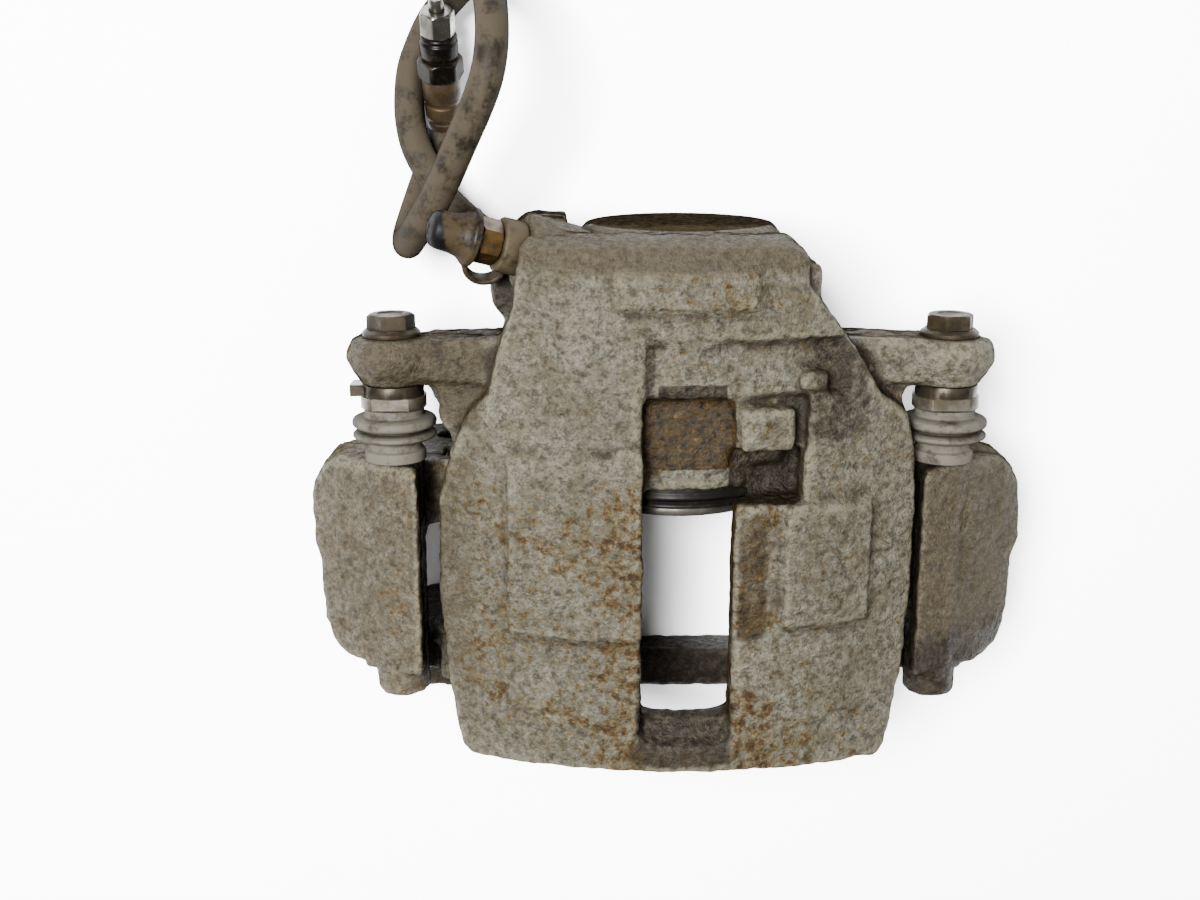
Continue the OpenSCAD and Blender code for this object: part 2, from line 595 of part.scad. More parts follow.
housing();
piston();
piston_seal();
piston_boot();
carrier();
clip_inboard_left();
clip_inboard_right();
clip_outboard_left();
clip_outboard_right();
guide_pin_left();
guide_pin_right();
guide_bush();
guide_bolt_left();
guide_bolt_right();
guide_boot_left();
guide_boot_right();
bleed_screw();
bleed_cap();
bleed_cap_tether();
banjo_bolt();
banjo_fitting();
sealing_washers();
hose_ferrule();
brake_hose();
hose_end_ferrule();
hose_end_collar();
hose_end_sleeve();
tube_nut();
pipe_stub();
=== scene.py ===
"""Looks of a used brake caliper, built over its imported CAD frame.

Lengths are in metres, unless a name ends in _mm. +X runs between the guide pins, +Y points
inboard, and +Z points away from the wheel axle, towards the camera.
"""

import math

import bmesh
import bpy
import numpy as np
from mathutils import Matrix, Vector


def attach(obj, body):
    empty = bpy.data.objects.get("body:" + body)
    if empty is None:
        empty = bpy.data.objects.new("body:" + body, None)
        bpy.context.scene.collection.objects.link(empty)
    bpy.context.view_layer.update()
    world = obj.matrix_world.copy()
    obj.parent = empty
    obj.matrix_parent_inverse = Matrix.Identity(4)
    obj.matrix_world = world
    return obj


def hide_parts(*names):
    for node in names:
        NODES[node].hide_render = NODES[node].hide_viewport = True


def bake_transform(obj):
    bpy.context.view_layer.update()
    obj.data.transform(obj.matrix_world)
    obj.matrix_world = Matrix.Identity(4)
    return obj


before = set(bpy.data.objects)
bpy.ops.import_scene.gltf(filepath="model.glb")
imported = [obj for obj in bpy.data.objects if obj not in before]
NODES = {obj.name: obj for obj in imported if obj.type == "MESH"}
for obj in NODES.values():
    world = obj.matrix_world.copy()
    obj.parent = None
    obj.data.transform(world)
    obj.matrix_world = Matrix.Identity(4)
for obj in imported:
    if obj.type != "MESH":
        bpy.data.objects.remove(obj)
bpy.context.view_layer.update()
MM = 0.001
link = bpy.context.scene.collection.objects.link

# Sizes and places of the design, in mm, as in part.scad
PIN_X, PIN_Z, PIN_R = 86, 45, 5
EAR_Y, EAR_TOP, HEAD_Y = 27.8, 42.6, 20.5
PISTON_X, PISTON_Z, PISTON_R = 3, 30, 30
LUG_X = 71


# ---------------------------------------------------------------- camera
camera = bpy.data.objects.new("camera", bpy.data.cameras.new("camera"))
link(camera)
camera.data.lens = 42.87
camera.data.sensor_width = 36
camera.location = (-0.0217, 0.1225, 0.4797)
camera.rotation_euler = (math.radians(-15), 0, 0)
bpy.context.scene.camera = camera


# ---------------------------------------------------------------- materials
class Shade:
    """Node material: each call adds a node and returns its output socket."""

    def __init__(self, name, roughness=0.6, metallic=0.0, specular=0.5, coat=0.0, coat_roughness=0.2):
        self.material = bpy.data.materials.new(name)
        self.material.use_nodes = True
        self.tree = self.material.node_tree
        self.surface = self.tree.nodes["Principled BSDF"]
        self.set("Roughness", roughness)
        self.set("Metallic", metallic)
        # Dirt takes the sheen off a surface that is seen at a glancing angle
        facing = self.node("ShaderNodeLayerWeight").outputs["Facing"]
        self.set("Specular IOR Level", self.step(facing, 0.3, 0.85, specular, 0.0))
        self.set("Coat Weight", coat)
        self.set("Coat Roughness", coat_roughness)
        self.place = self.node("ShaderNodeTexCoord").outputs["Object"]

    def node(self, kind, **settings):
        node = self.tree.nodes.new(kind)
        for key, value in settings.items():
            setattr(node, key, value)
        return node

    def join(self, value, socket):
        """Links a socket, or sets a number or colour."""
        if isinstance(value, bpy.types.NodeSocket):
            self.tree.links.new(value, socket)
        elif socket.type == "RGBA" and len(value) == 3:
            socket.default_value = (*value, 1)
        else:
            socket.default_value = value

    def set(self, name, value):
        self.join(value, self.surface.inputs[name])

    def noise(self, per_m, detail=3.0, rough=0.55, warp=0.0, stretch=None, shift=0.0):
        node = self.node("ShaderNodeTexNoise")
        where = self.place
        if stretch or shift:
            mapping = self.node("ShaderNodeMapping")
            mapping.inputs["Scale"].default_value = stretch or (1, 1, 1)
            mapping.inputs["Location"].default_value = (shift, shift * 0.7, -shift)
            self.join(where, mapping.inputs["Vector"])
            where = mapping.outputs["Vector"]
        self.join(where, node.inputs["Vector"])
        node.inputs["Scale"].default_value = per_m
        node.inputs["Detail"].default_value = detail
        node.inputs["Roughness"].default_value = rough
        node.inputs["Distortion"].default_value = warp
        return node.outputs["Fac"]

    def cells(self, per_m, spread=1.0):
        """Distance to the nearest of scattered points, in cells."""
        node = self.node("ShaderNodeTexVoronoi")
        self.join(self.place, node.inputs["Vector"])
        node.inputs["Scale"].default_value = per_m
        node.inputs["Randomness"].default_value = spread
        return node.outputs["Distance"]

    def attribute(self, name):
        return self.node("ShaderNodeAttribute", attribute_name=name).outputs["Fac"]

    def math(self, kind, a, b=0.0):
        node = self.node("ShaderNodeMath", operation=kind)
        self.join(a, node.inputs[0])
        self.join(b, node.inputs[1])
        return node.outputs[0]

    def step(self, value, low, high, to_low=0.0, to_high=1.0):
        """Goes smoothly from to_low to to_high as value goes from low to high."""
        node = self.node("ShaderNodeMapRange", interpolation_type="SMOOTHSTEP")
        self.join(value, node.inputs["Value"])
        for key, number in zip(("From Min", "From Max", "To Min", "To Max"), (low, high, to_low, to_high)):
            node.inputs[key].default_value = number
        return node.outputs["Result"]

    def mix(self, fac, a, b, kind="MIX"):
        node = self.node("ShaderNodeMix", data_type="RGBA", blend_type=kind)
        self.join(fac, node.inputs["Factor"])
        self.join(a, node.inputs["A"])
        self.join(b, node.inputs["B"])
        return node.outputs["Result"]

    def painted_shade(self, colour, reach, amount):
        """Paints shade into a colour where the surface is shut in: it darkens corners, crevices and gaps by
        their ambient occlusion.
        """
        node = self.node("ShaderNodeAmbientOcclusion", samples=6)
        node.inputs["Distance"].default_value = reach
        shut = self.step(node.outputs["AO"], 0.85, 0.15, 0, amount)
        return self.mix(shut, colour, self.mix(0.82, colour, (0.0015, 0.0012, 0.0008)))

    def bump(self, height, depth_mm, strength=1.0, over=None):
        node = self.node("ShaderNodeBump")
        node.inputs["Strength"].default_value = strength
        node.inputs["Distance"].default_value = depth_mm * MM
        self.join(height, node.inputs["Height"])
        if over is not None:
            self.join(over, node.inputs["Normal"])
        return node.outputs["Normal"]

    def normal(self, socket):
        self.join(socket, self.surface.inputs["Normal"])


TONE = 0.08  # the light is strong, so that the floor comes out pale, and every colour is scaled to suit


def srgb(r, g, b, tone=TONE):
    """Linear colour for an sRGB colour given from 0 to 255, as it should look under the studio light."""
    line = [((c / 255 + 0.055) / 1.055) ** 2.4 if c > 10 else c / 3295 for c in (r, g, b)]
    grey = sum(line) / 3
    return tuple(tone * max(grey + 1.45 * (c - grey), 0.0) for c in line)


def casting_material(name, light, dark, dirt):
    """Dulled zinc on rough cast iron, with rust, oil and road dust where the attributes ask for them, and
    painted shade where the dust, oil and hollow attributes carry it.
    """
    s = Shade(name, roughness=0.62, specular=0.06)
    fine = s.noise(1250, 3, 0.6)
    grain = s.noise(520, 4, 0.65, shift=2.2)
    blotch = s.noise(120, 5, 0.62, shift=3.1)
    broad = s.noise(30, 3, 0.5, shift=1.3)
    mottle = s.math("ADD", s.math("MULTIPLY", fine, 0.45), s.math("MULTIPLY", grain, 0.55))
    base = s.mix(s.step(mottle, 0.34, 0.66), dark, light)
    base = s.mix(s.step(blotch, 0.40, 0.66, 0, 0.55), base, dirt)
    base = s.mix(s.step(broad, 0.38, 0.68, 0, 0.35), base, dark)
    # Pale zinc salts
    salt = s.step(s.noise(640, 4, 0.7, shift=7.7), 0.54, 0.70)
    pale = s.math("MULTIPLY", salt, s.step(blotch, 0.62, 0.40, 0.1, 0.75))
    base = s.mix(pale, base, srgb(188, 184, 168))
    # Worn edges are lighter; hollows get painted shade, with dirt
    edge = s.math("MULTIPLY", s.step(s.attribute("edge"), 0.10, 0.55), s.step(grain, 0.35, 0.6, 0.2, 0.75))
    base = s.mix(edge, base, srgb(180, 174, 156))
    hollow_shade_and_dirt = s.math("ADD", s.attribute("hollow_shade_and_dirt"), s.math("MULTIPLY", s.math("SUBTRACT", blotch, 0.5), 0.5))
    base = s.mix(s.step(hollow_shade_and_dirt, 0.06, 0.5, 0, 0.85), base, srgb(58, 49, 38))
    # Rust: brown specks with ochre rims, and small dark pits
    rust = s.attribute("rust")
    speck = s.math("ADD", s.noise(300, 6, 0.72, shift=11), s.math("MULTIPLY", rust, 0.17))
    base = s.mix(s.step(speck, 0.60, 0.68, 0, 0.55), base, srgb(134, 116, 76))
    base = s.mix(s.step(speck, 0.665, 0.71, 0, 0.8), base, srgb(100, 76, 50))
    base = s.mix(s.step(speck, 0.73, 0.77, 0, 0.8), base, srgb(60, 44, 32))
    pit = s.step(s.noise(880, 3, 0.6, shift=17), 0.66, 0.74, 0, 0.7)
    base = s.mix(pit, base, srgb(60, 50, 38))
    # Painted shade in the wrinkles' creases and painted highlight on their crests, on the same noise as the
    # bump
    wrinkle_with_painted_light = s.noise(400, 5, 0.66, shift=1)
    base = s.mix(s.step(wrinkle_with_painted_light, 0.50, 0.36, 0, 0.6), base, srgb(52, 46, 36))
    base = s.mix(s.step(wrinkle_with_painted_light, 0.56, 0.68, 0, 0.4), base, srgb(196, 192, 176))
    # Road dust, grease and oil, each with a ragged edge; the dust and oil masks also carry painted shade
    dust = s.math("ADD", s.attribute("dust"), s.math("MULTIPLY", s.math("SUBTRACT", blotch, 0.5), 0.7))
    dust_and_shade_colour = s.mix(s.step(mottle, 0.36, 0.62), srgb(84, 76, 62), srgb(118, 109, 92))
    base = s.mix(s.step(dust, 0.1, 0.9, 0, 0.9), base, dust_and_shade_colour)
    ragged = s.math("MULTIPLY", s.math("SUBTRACT", s.noise(150, 6, 0.7, shift=5), 0.5), 1.3)
    oil = s.step(s.math("ADD", s.attribute("oil"), ragged), 0.30, 0.75)
    oil_and_shade_colour = s.mix(s.step(grain, 0.4, 0.64), srgb(40, 35, 28), srgb(88, 80, 68))
    base = s.mix(s.math("MULTIPLY", oil, 0.93), base, oil_and_shade_colour)
    amber = s.step(s.math("ADD", s.attribute("amber"), ragged), 0.25, 0.7)
    crust = s.noise(380, 5, 0.7, shift=2)
    brown = s.mix(s.step(crust, 0.38, 0.54), srgb(30, 24, 16), srgb(80, 64, 42))
    brown = s.mix(s.step(crust, 0.6, 0.7), brown, srgb(140, 120, 84))
    base = s.mix(s.math("MULTIPLY", amber, 0.9), base, brown)
    # Painted shade where the cast surface is shut in
    s.set("Base Color", s.painted_shade(base, 0.014, 0.9))
    wet = s.math("MAXIMUM", oil, amber)
    dry = s.step(mottle, 0.3, 0.7, 0.66, 0.46)
    s.set("Roughness", s.math("SUBTRACT", dry, s.math("MULTIPLY", wet, 0.18)))
    bumps = s.bump(wrinkle_with_painted_light, 1.5, 1.0)
    s.normal(s.bump(s.noise(1300, 3, 0.6, shift=4), 0.38, 1.0, bumps))
    return s.material


def metal_material(name, light, dark, roughness=0.4, metallic=0.8, rust=0.3, scratch=0.05, dirty_from=None):
    """Machined or plated steel with stains, specks of rust and fine scratches.

    From dirty_from on, in mm along Y, it is under brown dirt.
    """
    s = Shade(name, roughness=roughness, metallic=metallic, specular=0.05)
    cloud = s.noise(160, 4, 0.6)
    speck = s.noise(700, 4, 0.65, shift=5)
    base = s.mix(s.step(cloud, 0.36, 0.66), light, dark)
    base = s.mix(s.step(speck, 0.66 - 0.16 * rust, 0.76 - 0.16 * rust, 0, 0.8), base, srgb(104, 72, 44))
    if dirty_from is not None:
        along = s.node("ShaderNodeSeparateXYZ")
        s.join(s.place, along.inputs[0])
        far = s.step(along.outputs["Y"], dirty_from * MM, (dirty_from + 0.3) * MM)
        base = s.mix(s.math("MULTIPLY", far, s.step(cloud, 0.3, 0.6, 0.95, 0.7)), base, srgb(50, 40, 28))
    # Painted shade where the steel is shut in
    s.set("Base Color", s.painted_shade(base, 0.005, 0.9))
    s.set("Roughness", s.step(cloud, 0.3, 0.7, roughness - 0.08, roughness + 0.14))
    s.normal(s.bump(s.noise(900, 3, 0.6), scratch, 1.0))
    return s.material


def rubber_material(name, dark, dust, dustiness=0.5, roughness=0.62, bump=0.05, reach=0.004, black_tip=None):
    """Rubber with road dust on it in patches.

    It is clean and black to the left of black_tip, in mm along X.
    """
    s = Shade(name, roughness=roughness, specular=0.035)
    cloud = s.noise(130, 4, 0.62)
    fine = s.noise(900, 3, 0.6, shift=3)
    lay = s.math("ADD", cloud, s.math("MULTIPLY", fine, 0.35))
    middle = 0.92 - 0.45 * dustiness
    base = s.mix(s.step(lay, middle - 0.14, middle + 0.14), dark, dust)
    if black_tip is not None:
        along = s.node("ShaderNodeSeparateXYZ")
        s.join(s.place, along.inputs[0])
        ragged = s.math("ADD", along.outputs["X"], s.math("MULTIPLY", s.math("SUBTRACT", cloud, 0.5), 0.008))
        base = s.mix(s.step(ragged, (black_tip + 0.8) * MM, (black_tip - 0.8) * MM), base, srgb(24, 24, 26))
    # Painted shade where the rubber is shut in, as in the gaps between a boot's rings
    s.set("Base Color", s.painted_shade(base, reach, 0.95))
    s.set("Roughness", s.step(lay, middle - 0.2, middle + 0.2, roughness - 0.14, roughness + 0.12))
    s.normal(s.bump(fine, bump, 1.0))
    return s.material


HOUSING_IRON = casting_material("housing_iron", srgb(182, 179, 165), srgb(100, 96, 84), srgb(122, 113, 93))
CARRIER_IRON = casting_material("carrier_iron", srgb(168, 161, 145), srgb(92, 84, 70), srgb(110, 98, 78))
HOSE_RUBBER = rubber_material("hose_rubber", srgb(50, 46, 39), srgb(104, 96, 84), 0.7, 0.66, reach=0.012)


# ---------------------------------------------------------------- hose
HOSE_ROUTE_MM = [
    (-62, 71, 4), (-68, 76, 3), (-74, 82, 2), (-78, 89, 1.5), (-82, 97, 0.5), (-84, 105, -2),
    (-84.5, 113, -5), (-83.5, 122, -7), (-80.5, 130, -8), (-76.5, 137, -6), (-71, 143, -2), (-64.5, 148, 6),
    (-59, 149.5, 18), (-55.5, 146.5, 32), (-53.5, 139, 44), (-53, 129.5, 50.5), (-54.5, 120, 52.5),
    (-58, 111, 51), (-63, 101, 46.5), (-68, 91, 42), (-73, 82, 37.5), (-78, 75, 32), (-82, 69.5, 24.5),
    (-84, 67.5, 15), (-85, 69.5, 5.5), (-84, 75, -3), (-81.5, 83, -8), (-78, 92.5, -10), (-73.5, 104, -7),
]  # fmt: skip


def catmull(points, steps):
    """Smooth curve through points, as part.scad draws it."""
    p = [np.array(q, float) for q in points]
    out = []
    for i in range(len(p) - 1):
        a, b, c, d = p[max(i - 1, 0)], p[i], p[i + 1], p[min(i + 2, len(p) - 1)]
        square, cube = 2 * a - 5 * b + 4 * c - d, 3 * b - a - 3 * c + d
        for t in np.arange(steps) / steps:
            out.append(0.5 * (2 * b + (c - a) * t + square * t * t + cube * t**3))
    return out + [p[-1]]


def tube(name, points_mm, radius_mm, sides=10):
    """Bevelled curve along the points."""
    data = bpy.data.curves.new(name, "CURVE")
    data.dimensions = "3D"
    data.bevel_depth = radius_mm * MM
    data.bevel_resolution = sides
    data.use_fill_caps = True
    spline = data.splines.new("POLY")
    spline.points.add(len(points_mm) - 1)
    for point, co in zip(spline.points, points_mm):
        point.co = (*(np.array(co) * MM), 1)
    spline.use_smooth = True
    piece = bpy.data.objects.new(name, data)
    link(piece)
    return piece


hose_line = catmull(HOSE_ROUTE_MM, 6)
hose = tube("hose", hose_line, 5)
hose.data.materials.append(HOSE_RUBBER)


# ---------------------------------------------------------------- turned and hexagonal pieces
def softened(profile, radius, steps=3):
    """Rounds the inner corners of a profile of (station, radius, across_flats) rows."""
    rows = [tuple(r) + (0,) * (3 - len(r)) for r in profile]
    out = [rows[0]]
    for before, here, after in zip(rows, rows[1:], rows[2:]):
        a, b, c = (np.array(r[:2], float) for r in (before, here, after))
        la, lc = np.linalg.norm(a - b), np.linalg.norm(c - b)
        cut = min(radius, 0.45 * la, 0.45 * lc)
        if cut < 0.02:
            out.append(here)
            continue
        p, q = b + (a - b) * cut / la, b + (c - b) * cut / lc
        for k in range(steps + 1):
            t = k / steps
            out.append((*((1 - t) ** 2 * p + 2 * t * (1 - t) * b + t * t * q), here[2]))
    return out + [rows[-1]]


def turned(name, origin_mm, axis, profile, material, segments=96, soften=0.35, turn=0.0, sharp=38):
    """Body of revolution along axis. A row with across_flats is cut to that hexagon."""
    rows = softened(profile, soften) if soften else [tuple(r) + (0,) * (3 - len(r)) for r in profile]
    spin = Vector((0, 0, 1)).rotation_difference(Vector(axis)).to_matrix()
    verts, faces = [], []
    for station, radius, flats in rows:
        for k in range(segments):
            a = 2 * math.pi * k / segments
            r = radius
            if flats:
                b = a % (math.pi / 3) - math.pi / 6
                r = min(radius, flats / 2 / math.cos(b))
            point = Vector((r * math.cos(a + turn), r * math.sin(a + turn), station))
            verts.append((Vector(origin_mm) + spin @ point) * MM)
    for i in range(len(rows) - 1):
        for k in range(segments):
            n = (k + 1) % segments
            faces.append((i * segments + k, i * segments + n, (i + 1) * segments + n, (i + 1) * segments + k))
    mesh = bpy.data.meshes.new(name)
    mesh.from_pydata(verts, [], faces)
    return finished(name, mesh, material, sharp)


def finished(name, mesh, material, sharp=38, weld=1e-6):
    """Welds a mesh, faces it outwards and makes it a piece."""
    bm = bmesh.new()
    bm.from_mesh(mesh)
    bmesh.ops.remove_doubles(bm, verts=bm.verts, dist=weld)
    bmesh.ops.recalc_face_normals(bm, faces=bm.faces)
    bm.to_mesh(mesh)
    bm.free()
    mesh.shade_smooth()
    if sharp:
        mesh.set_sharp_from_angle(angle=math.radians(sharp))
    mesh.materials.append(material)
    piece = bpy.data.objects.new(name, mesh)
    link(piece)
    return piece


def stand_in(piece, body, *nodes):
    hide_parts(*nodes)
    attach(piece, body)
    return piece


BOLT_STEEL = metal_material("bolt_steel", srgb(98, 90, 77), srgb(60, 54, 44), 0.5, 0.4, 0.55, 0.08)
PASSIVATED = metal_material("passivated_steel", srgb(120, 98, 68), srgb(70, 58, 42), 0.42, 0.5, 0.4, 0.05)
BRIGHT_STEEL = metal_material("bright_steel", srgb(205, 202, 194), srgb(140, 135, 124), 0.28, 0.9, 0.1, 0.03)
PIN_STEEL = metal_material(
    "pin_steel", srgb(176, 172, 162), srgb(122, 114, 100), 0.36, 0.6, 0.3, 0.05, dirty_from=24.2
)
STAINLESS = metal_material("stainless", srgb(196, 192, 182), srgb(136, 128, 114), 0.3, 0.85, 0.15, 0.03)
FITTING_STEEL = metal_material("fitting_steel", srgb(122, 116, 104), srgb(84, 77, 66), 0.5, 0.6, 0.4, 0.07)
FERRULE_STEEL = metal_material("ferrule_steel", srgb(112, 98, 80), srgb(66, 56, 46), 0.52, 0.5, 0.5, 0.08)
PISTON_METAL = metal_material("piston_metal", srgb(186, 184, 178), srgb(150, 146, 138), 0.3, 0.85, 0.1, 0.02)
COPPER = metal_material("copper", srgb(166, 104, 70), srgb(108, 68, 48), 0.4, 0.85, 0.1, 0.03)
BLACK_FITTING = rubber_material("black_fitting", srgb(22, 20, 18), srgb(74, 66, 56), 0.35, 0.42, 0.06)
BLACK_RUBBER = rubber_material("black_rubber", srgb(26, 24, 22), srgb(78, 70, 60), 0.3, 0.55)
GREY_RUBBER = rubber_material("grey_rubber", srgb(92, 88, 80), srgb(156, 152, 141), 0.75, 0.55)
RING_RUBBER = rubber_material("ring_rubber", srgb(62, 54, 44), srgb(116, 106, 90), 0.75, 0.5)
CAP_RUBBER = rubber_material("cap_rubber", srgb(40, 34, 28), srgb(92, 81, 66), 0.6, 0.5, black_tip=-66)

# Guide bolts: hexagon heads with a chamfered top, on their flanges
for side, name in ((-1, "left"), (1, "right")):
    hex_turn = math.radians(14 if side < 0 else 8)
    bolt = turned(
        f"bolt_{name}", (side * PIN_X, 0, PIN_Z), (0, 1, 0),
        [(EAR_TOP - 14, 0), (EAR_TOP - 14, 3.96), (EAR_TOP, 3.96), (EAR_TOP, 8.9), (EAR_TOP + 1.3, 8.97),
         (EAR_TOP + 2.3, 7.9, 15.4), (EAR_TOP + 2.5, 7.5, 13), (EAR_TOP + 6.2, 7.5, 13),
         (EAR_TOP + 6.9, 6.4, 13), (EAR_TOP + 6.9, 4.3), (EAR_TOP + 6.5, 3.9), (EAR_TOP + 6.5, 0)],
        BOLT_STEEL, turn=hex_turn, soften=0.3,
    )  # fmt: skip
    stand_in(bolt, "caliper", f"guide_bolt_{name}")

    # Boot on the pin: two rings between an upper and a lower collar
    y = HEAD_Y
    boot = turned(
        f"pin_boot_{name}", (side * PIN_X, 0, PIN_Z), (0, 1, 0),
        [(y - 0.3, 5.4), (y - 0.3, 9.3), (y - 2.7, 9.4), (y - 3.0, 11.2), (y - 3.6, 12.8), (y - 4.6, 13.2),
         (y - 5.6, 13.1), (y - 6.5, 12.0), (y - 7.0, 10.0), (y - 7.3, 9.9), (y - 7.7, 11.8), (y - 8.4, 13.0),
         (y - 9.2, 13.1), (y - 10.0, 12.0), (y - 10.5, 9.2), (y - 11.3, 8.4), (7.2, 8.4), (6.6, 9.5),
         (3.6, 9.6), (3.4, 9.2), (3.4, 7.3), (6.4, 7.3), (7.6, 6.6), (y - 3.4, 6.6), (y - 3.4, 5.4),
         (y - 0.3, 5.4)],
        GREY_RUBBER, soften=0.5,
    )  # fmt: skip
    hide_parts(f"guide_boot_{name}")
    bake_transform(boot)

# Piston boot: a bead in the cylinder mouth, a fold, and the lip in the piston's groove
r = PISTON_R
piston_boot = turned(
    "piston_dust_boot", (PISTON_X, 0, PISTON_Z), (0, 1, 0),
    [(1.7, r + 0.3), (1.7, r + 2.8), (-3.2, r + 2.8), (-3.8, r + 3.1), (-4.7, r + 3.4), (-5.4, r + 3.1),
     (-5.9, r + 2.2), (-6.6, r + 2.9), (-7.3, r + 3.2), (-8.0, r + 2.8), (-8.2, r + 0.3), (-6.6, r + 0.3),
     (-5.8, r + 1.4), (-4.0, r + 1.4), (-3.0, r + 0.3), (1.7, r + 0.3)],
    BLACK_RUBBER, segments=128, soften=0.4,
)  # fmt: skip
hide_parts("piston_boot")
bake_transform(piston_boot)

# Bleed screw, its ring, strap and cap
BLEED_P = (-45.5, 70.2, 53.7)
BLEED_AXIS = Vector((-0.900996, 0.266887, 0.342020))
bleed = turned(
    "bleed_nipple", BLEED_P, BLEED_AXIS,
    [(-15, 0), (-15, 4), (7.5, 4), (7.5, 6.3, 12), (8.0, 6.93, 12), (13.5, 6.93, 12), (14, 6.3, 12),
     (14, 2.6), (19, 2.6), (19, 3.4), (22.5, 2.5), (22.5, 1.0), (20, 0.9), (20, 0)],
    PASSIVATED, turn=math.radians(20), soften=0.25,
)  # fmt: skip
stand_in(bleed, "bleed_screw", "bleed_screw")
cap = turned(
    "bleed_dust_cap", BLEED_P, BLEED_AXIS,
    [(14.6, 3.7), (14.6, 8.3), (15.0, 8.7), (16.6, 8.6), (17.6, 7.6), (19.0, 6.6), (21.5, 6.0), (25.6, 5.7),
     (27.2, 5.2), (28.2, 4.2), (28.8, 2.4), (28.8, 0), (24.6, 0), (24.6, 3.7), (14.6, 3.7)],
    CAP_RUBBER, soften=0.5,
)  # fmt: skip
stand_in(cap, "bleed_cap", "bleed_cap")
ring = turned(
    "bleed_cap_ring", BLEED_P, BLEED_AXIS,
    [(0, 4.05), (0, 7.8), (0.5, 8.2), (6.7, 8.2), (7.2, 7.8), (7.2, 4.05), (0, 4.05)],
    RING_RUBBER, soften=0.5,
)  # fmt: skip


def swept(name, path_mm, across, section_mm, material, sharp=50):
    """Sweeps a closed section of (along across, outwards) points along a path."""
    path = [Vector(p) for p in path_mm]
    across = Vector(across).normalized()
    n = len(section_mm)
    verts, faces = [], []
    for i, p in enumerate(path):
        along = (path[min(i + 1, len(path) - 1)] - path[max(i - 1, 0)]).normalized()
        out = across.cross(along).normalized()
        verts += [(p + across * u + out * v) * MM for u, v in section_mm]
    for i in range(len(path) - 1):
        here, there = i * n, (i + 1) * n
        faces += [(here + k, here + (k + 1) % n, there + (k + 1) % n, there + k) for k in range(n)]
    faces += [tuple(range(n)), tuple(range((len(path) - 1) * n, len(path) * n))]
    mesh = bpy.data.meshes.new(name)
    mesh.from_pydata(verts, [], faces)
    return finished(name, mesh, material, sharp)


def band_section(width, thick, steps=6):
    """Flat section with round edges."""
    half = width / 2 - thick / 2
    turns = np.linspace(-math.pi / 2, math.pi / 2, steps)
    right = [(half + thick / 2 * math.cos(a), thick / 2 * math.sin(a)) for a in turns]
    return right + [(-u, -v) for u, v in right]


# Strap of the bleed cap: it loops outwards between the ring and the cap's skirt
down = Vector((-0.284, -0.9588, 0))
deep = Vector((-0.328, 0.0971, -0.9397))
loop_out = (down * math.cos(0.35) + deep * math.sin(0.35)).normalized()
strap_path = []
for a in np.linspace(math.radians(-86), math.radians(84), 25):
    bulge = 7.4 + 5.6 * math.cos(a)
    strap_path.append(Vector(BLEED_P) + BLEED_AXIS * (8.9 + 6.0 * math.sin(a)) + loop_out * bulge)
strap = swept(
    "bleed_cap_strap", strap_path, BLEED_AXIS.cross(loop_out), band_section(5.4, 1.7),
    CAP_RUBBER,
)  # fmt: skip
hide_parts("bleed_cap_tether")
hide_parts("bleed_cap_tether")
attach(ring, "caliper")
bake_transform(strap)

# Fittings on the free end of the hose
END_P = (-73.5, 104, -7)
END_TURN, END_RISE = math.radians(89), math.radians(28)
END_AXIS = Vector((
    math.cos(END_RISE) * math.cos(END_TURN), math.cos(END_RISE) * math.sin(END_TURN), math.sin(END_RISE),
))  # fmt: skip
end_ferrule = turned(
    "end_ferrule", END_P, END_AXIS,
    [(0, 4.9), (0, 5.3), (2.2, 5.5), (2.7, 5.2), (3.6, 5.25), (4.1, 5.65), (8.2, 5.9), (8.7, 5.6),
     (9.6, 5.65), (10.1, 6.05), (14, 6.2), (18, 6.2), (18, 0)],
    FERRULE_STEEL, soften=0.4,
)  # fmt: skip
end_collar = turned(
    "end_collar", END_P, END_AXIS,
    [(18, 0), (18, 6.6), (18.6, 7.5, 13.5), (23.6, 7.5, 13.5), (24.5, 6.7, 13.5), (24.5, 0)],
    BLACK_FITTING, turn=0.2, soften=0.3,
)  # fmt: skip
end_sleeve = turned(
    "end_sleeve", END_P, END_AXIS,
    [(24.5, 0), (24.5, 5.5), (25.2, 5.4), (25.6, 6.1), (30.2, 6.2), (30.8, 5.6), (31.2, 5.5), (31.6, 6.0),
     (32.5, 5.6), (32.5, 0)],
    BLACK_FITTING, soften=0.3,
)  # fmt: skip
end_nut = turned(
    "tube_nut_hex", END_P, END_AXIS,
    [(32.5, 2.45), (32.5, 5.0), (33.2, 5.7, 10), (39.6, 5.7, 10), (40.5, 4.9, 10), (40.5, 2.6),
     (40.2, 2.45), (32.5, 2.45)],
    BRIGHT_STEEL, turn=0.35, soften=0.2,
)  # fmt: skip
end_stub = turned(
    "cut_pipe", END_P, END_AXIS,
    [(32.5, 0), (32.5, 2.4), (43.2, 2.4), (44.5, 2.25), (44.5, 1.5), (41, 1.4), (41, 0)],
    BRIGHT_STEEL, segments=48, soften=0.15,
)  # fmt: skip
end_pieces = [end_ferrule, end_collar, end_sleeve, end_nut, end_stub]
end_nodes = ("hose_end_ferrule", "hose_end_collar", "hose_end_sleeve", "tube_nut", "pipe_stub")
for piece, node in zip(end_pieces, end_nodes):
    stand_in(piece, "caliper", node)
stand_in(hose, "caliper", "brake_hose")


